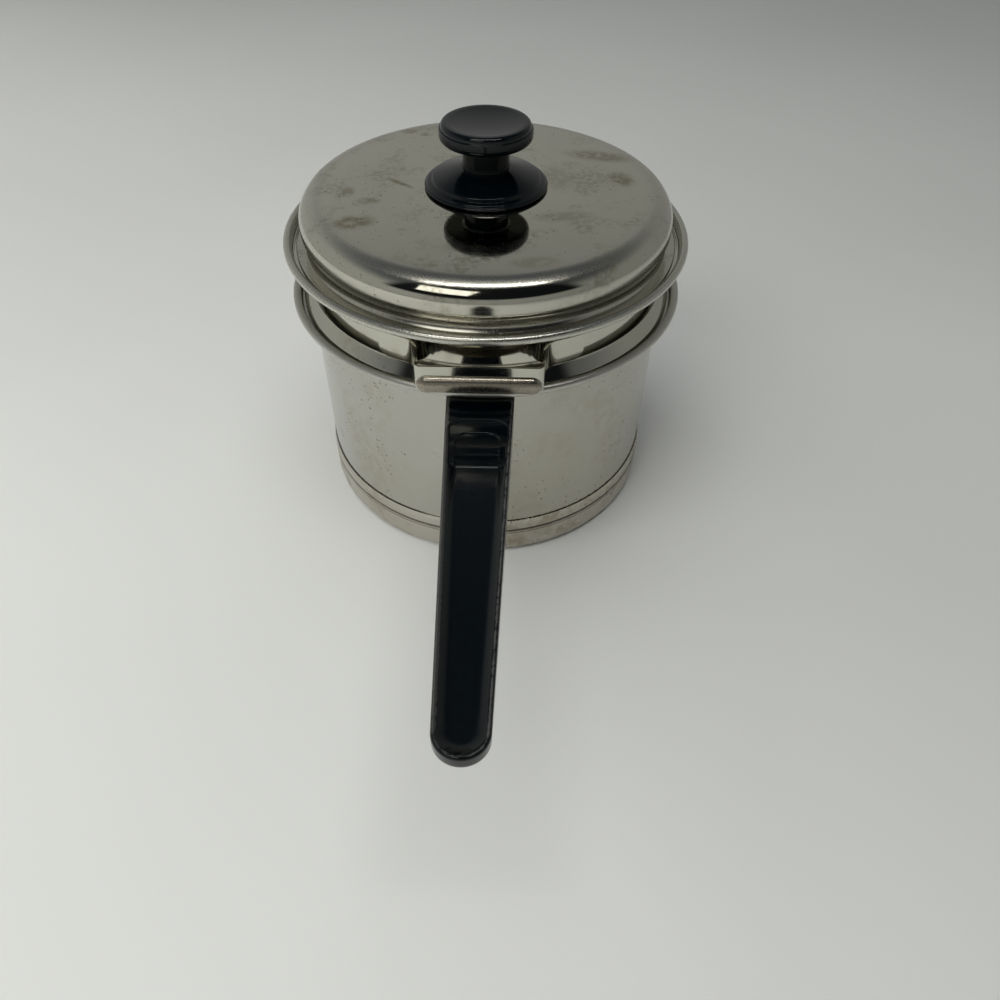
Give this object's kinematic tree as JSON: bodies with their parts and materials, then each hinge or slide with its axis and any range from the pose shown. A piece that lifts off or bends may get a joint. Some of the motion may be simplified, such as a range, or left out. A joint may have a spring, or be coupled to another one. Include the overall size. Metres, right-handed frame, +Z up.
{
  "type": "double boiler",
  "caption": "Stovetop double boiler: a lower pan with a long moulded handle, a hanging insert with lift ears, and a domed lid with a skirted knob.",
  "frame": {"origin": "middle of the flat base, on the surface that the pan stands on", "axes": "+Z up along the pan's axis, the handle along -Y"},
  "size_m": [0.1764, 0.3245, 0.1717],
  "materials": {
    "polished_steel": "mirror-polished stainless steel with faint water stains",
    "base_steel": "dulled stainless steel with brown residue in its groove",
    "core_aluminium": "plain rolled aluminium",
    "plain_steel": "plain zinc-bright steel",
    "black_phenolic": "black phenolic moulding, glossy, worn along its edges",
    "bush_brass": "turned brass"
  },
  "bodies": {
    "pan": {"pan_shell": "polished_steel", "base_cup": "base_steel", "core_disc": "core_aluminium", "handle_bracket": "plain_steel", "handle_grip": "black_phenolic", "handle_screw": "plain_steel", "handle_washer": "plain_steel"},
    "insert": {"insert_shell": "polished_steel", "front_ear": "polished_steel", "rear_ear": "polished_steel"},
    "lid": {"lid_shell": "polished_steel", "knob_skirt": "black_phenolic", "knob_cap": "black_phenolic", "knob_bush": "bush_brass", "knob_screw": "plain_steel", "knob_washer": "plain_steel"}
  },
  "joints": [
    {"name": "insert_lift", "type": "slide", "parent": "pan", "child": "insert", "axis": [0, 0, 1], "range_m": [0, 0.12]},
    {"name": "lid_lift", "type": "slide", "parent": "insert", "child": "lid", "axis": [0, 0, 1], "range_m": [0, 0.1]}
  ]
}
